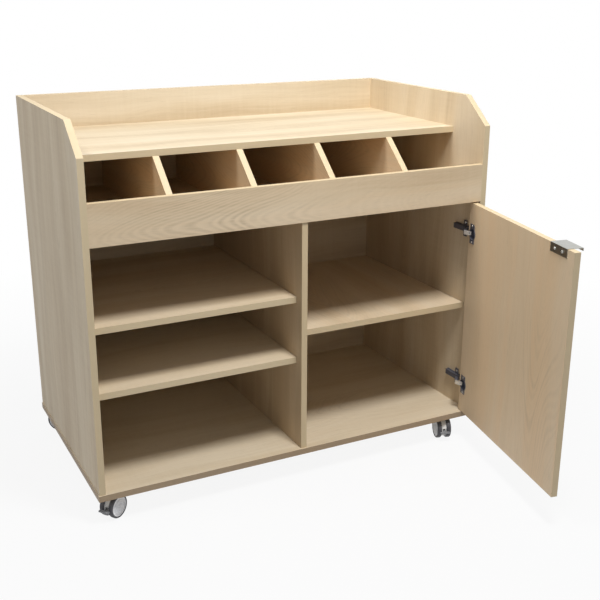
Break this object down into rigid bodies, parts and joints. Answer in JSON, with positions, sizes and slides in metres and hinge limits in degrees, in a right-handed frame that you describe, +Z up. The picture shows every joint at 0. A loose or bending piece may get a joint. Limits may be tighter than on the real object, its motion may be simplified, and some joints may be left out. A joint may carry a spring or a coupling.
{
  "type": "waiter service station",
  "caption": "Mobile waiter service station: light oak board cabinet on castors with a gallery worktop, cutlery bins, an open shelved bay and a shelved bay with a hinged door.",
  "frame": {"origin": "bottom centre of the box round the whole object at rest, with the door open as in the picture; z 0 is the floor under the castors", "axes": "+X to the right seen from the front, +Y to the back, +Z up"},
  "size_m": [1.104, 1.1156, 0.97],
  "materials": {
    "oak_board": "light oak melamine, satin",
    "base_board": "oak melamine with a darker brown edge, satin",
    "nickel": "nickel plated",
    "satin_steel": "satin",
    "zinc": "zinc plated",
    "castor_wheel": "dark grey tread with a silver grey hub disc",
    "castor_housing": "light grey, satin",
    "brake_pedal": "mid grey, satin"
  },
  "bodies": {
    "carcass": {"base_panel": "base_board", "left_side_panel": "oak_board", "right_side_panel": "oak_board", "back_panel": "oak_board", "worktop": "oak_board", "front_fascia": "oak_board", "bin_floor": "oak_board", "bin_divider_1": "oak_board", "bin_divider_2": "oak_board", "bin_divider_3": "oak_board", "bin_divider_4": "oak_board", "centre_divider": "oak_board", "left_upper_shelf": "oak_board", "left_lower_shelf": "oak_board", "right_shelf": "oak_board", "left_upper_shelf_support_front_left": "nickel", "left_upper_shelf_support_front_right": "nickel", "left_upper_shelf_support_rear_left": "nickel", "left_upper_shelf_support_rear_right": "nickel", "left_lower_shelf_support_front_left": "nickel", "left_lower_shelf_support_front_right": "nickel", "left_lower_shelf_support_rear_left": "nickel", "left_lower_shelf_support_rear_right": "nickel", "right_shelf_support_front_left": "nickel", "right_shelf_support_front_right": "nickel", "right_shelf_support_rear_left": "nickel", "right_shelf_support_rear_right": "nickel", "top_hinge_arm": "nickel", "bottom_hinge_arm": "nickel", "front_left_castor_plate": "zinc", "front_right_castor_plate": "zinc", "rear_left_castor_plate": "zinc", "rear_right_castor_plate": "zinc"},
    "door": {"door_panel": "oak_board", "edge_pull": "satin_steel", "edge_pull_screw_1": "nickel", "edge_pull_screw_2": "nickel", "top_hinge_cup": "nickel", "bottom_hinge_cup": "nickel"},
    "top_hinge_link": {"top_hinge_link": "nickel"},
    "bottom_hinge_link": {"bottom_hinge_link": "nickel"},
    "front_left_swivel": {"front_left_castor_housing": "castor_housing", "front_left_castor_axle": "zinc"},
    "front_left_wheel_left": {"front_left_castor_wheel_left": "castor_wheel"},
    "front_left_wheel_right": {"front_left_castor_wheel_right": "castor_wheel"},
    "front_right_swivel": {"front_right_castor_housing": "castor_housing", "front_right_castor_axle": "zinc"},
    "front_right_wheel_left": {"front_right_castor_wheel_left": "castor_wheel"},
    "front_right_wheel_right": {"front_right_castor_wheel_right": "castor_wheel"},
    "rear_left_swivel": {"rear_left_castor_housing": "castor_housing", "rear_left_castor_axle": "zinc"},
    "rear_left_wheel_left": {"rear_left_castor_wheel_left": "castor_wheel"},
    "rear_left_wheel_right": {"rear_left_castor_wheel_right": "castor_wheel"},
    "rear_right_swivel": {"rear_right_castor_housing": "castor_housing", "rear_right_castor_axle": "zinc"},
    "rear_right_wheel_left": {"rear_right_castor_wheel_left": "castor_wheel"},
    "rear_right_wheel_right": {"rear_right_castor_wheel_right": "castor_wheel"},
    "front_left_pedal": {"front_left_brake_pedal": "brake_pedal"},
    "front_right_pedal": {"front_right_brake_pedal": "brake_pedal"}
  },
  "joints": [
    {"name": "door_hinge", "type": "hinge", "parent": "carcass", "child": "door", "pos_m": [0.523, -0.05722, 0.3885], "axis": [0, 0, 1], "range_deg": [-79, 16]},
    {"name": "top_hinge_link_pivot", "type": "hinge", "parent": "carcass", "child": "top_hinge_link", "pos_m": [0.505, -0.04122, 0.61], "axis": [0, 0, 1], "range_deg": [-7.5, 35]},
    {"name": "bottom_hinge_link_pivot", "type": "hinge", "parent": "carcass", "child": "bottom_hinge_link", "pos_m": [0.505, -0.04122, 0.167], "axis": [0, 0, 1], "range_deg": [-7.5, 35]},
    {"name": "front_left_castor_swivel", "type": "hinge", "parent": "carcass", "child": "front_left_swivel", "pos_m": [-0.49, -0.01422, 0.05], "axis": [0, 0, 1], "continuous": true},
    {"name": "front_right_castor_swivel", "type": "hinge", "parent": "carcass", "child": "front_right_swivel", "pos_m": [0.474, -0.01422, 0.05], "axis": [0, 0, 1], "continuous": true},
    {"name": "rear_left_castor_swivel", "type": "hinge", "parent": "carcass", "child": "rear_left_swivel", "pos_m": [-0.49, 0.50378, 0.05], "axis": [0, 0, 1], "continuous": true},
    {"name": "rear_right_castor_swivel", "type": "hinge", "parent": "carcass", "child": "rear_right_swivel", "pos_m": [0.474, 0.50378, 0.05], "axis": [0, 0, 1], "continuous": true},
    {"name": "front_left_wheel_left_roll", "type": "hinge", "parent": "front_left_swivel", "child": "front_left_wheel_left", "pos_m": [-0.50824, -0.02652, 0.03], "axis": [0.5592, -0.829, 0], "continuous": true},
    {"name": "front_left_wheel_right_roll", "type": "hinge", "parent": "front_left_swivel", "child": "front_left_wheel_right", "pos_m": [-0.50824, -0.02652, 0.03], "axis": [0.5592, -0.829, 0], "continuous": true},
    {"name": "front_right_wheel_left_roll", "type": "hinge", "parent": "front_right_swivel", "child": "front_right_wheel_left", "pos_m": [0.4672, -0.03514, 0.03], "axis": [0.9511, -0.309, 0], "continuous": true},
    {"name": "front_right_wheel_right_roll", "type": "hinge", "parent": "front_right_swivel", "child": "front_right_wheel_right", "pos_m": [0.4672, -0.03514, 0.03], "axis": [0.9511, -0.309, 0], "continuous": true},
    {"name": "rear_left_wheel_left_roll", "type": "hinge", "parent": "rear_left_swivel", "child": "rear_left_wheel_left", "pos_m": [-0.50685, 0.51793, 0.03], "axis": [-0.6428, -0.766, 0], "continuous": true},
    {"name": "rear_left_wheel_right_roll", "type": "hinge", "parent": "rear_left_swivel", "child": "rear_left_wheel_right", "pos_m": [-0.50685, 0.51793, 0.03], "axis": [-0.6428, -0.766, 0], "continuous": true},
    {"name": "rear_right_wheel_left_roll", "type": "hinge", "parent": "rear_right_swivel", "child": "rear_right_wheel_left", "pos_m": [0.463, 0.52284, 0.03], "axis": [-0.866, -0.5, 0], "continuous": true},
    {"name": "rear_right_wheel_right_roll", "type": "hinge", "parent": "rear_right_swivel", "child": "rear_right_wheel_right", "pos_m": [0.463, 0.52284, 0.03], "axis": [-0.866, -0.5, 0], "continuous": true},
    {"name": "front_left_brake_pedal_tip", "type": "hinge", "parent": "front_left_swivel", "child": "front_left_pedal", "pos_m": [-0.52316, -0.03658, 0.028], "axis": [0.5592, -0.829, 0], "range_deg": [0, 14]},
    {"name": "front_right_brake_pedal_tip", "type": "hinge", "parent": "front_right_swivel", "child": "front_right_pedal", "pos_m": [0.46164, -0.05226, 0.028], "axis": [0.9511, -0.309, 0], "range_deg": [0, 14]}
  ],
  "couplings": [
    {"joint": "top_hinge_link_pivot", "follows": "door_hinge", "ratio": -0.433},
    {"joint": "bottom_hinge_link_pivot", "follows": "door_hinge", "ratio": -0.433}
  ]
}
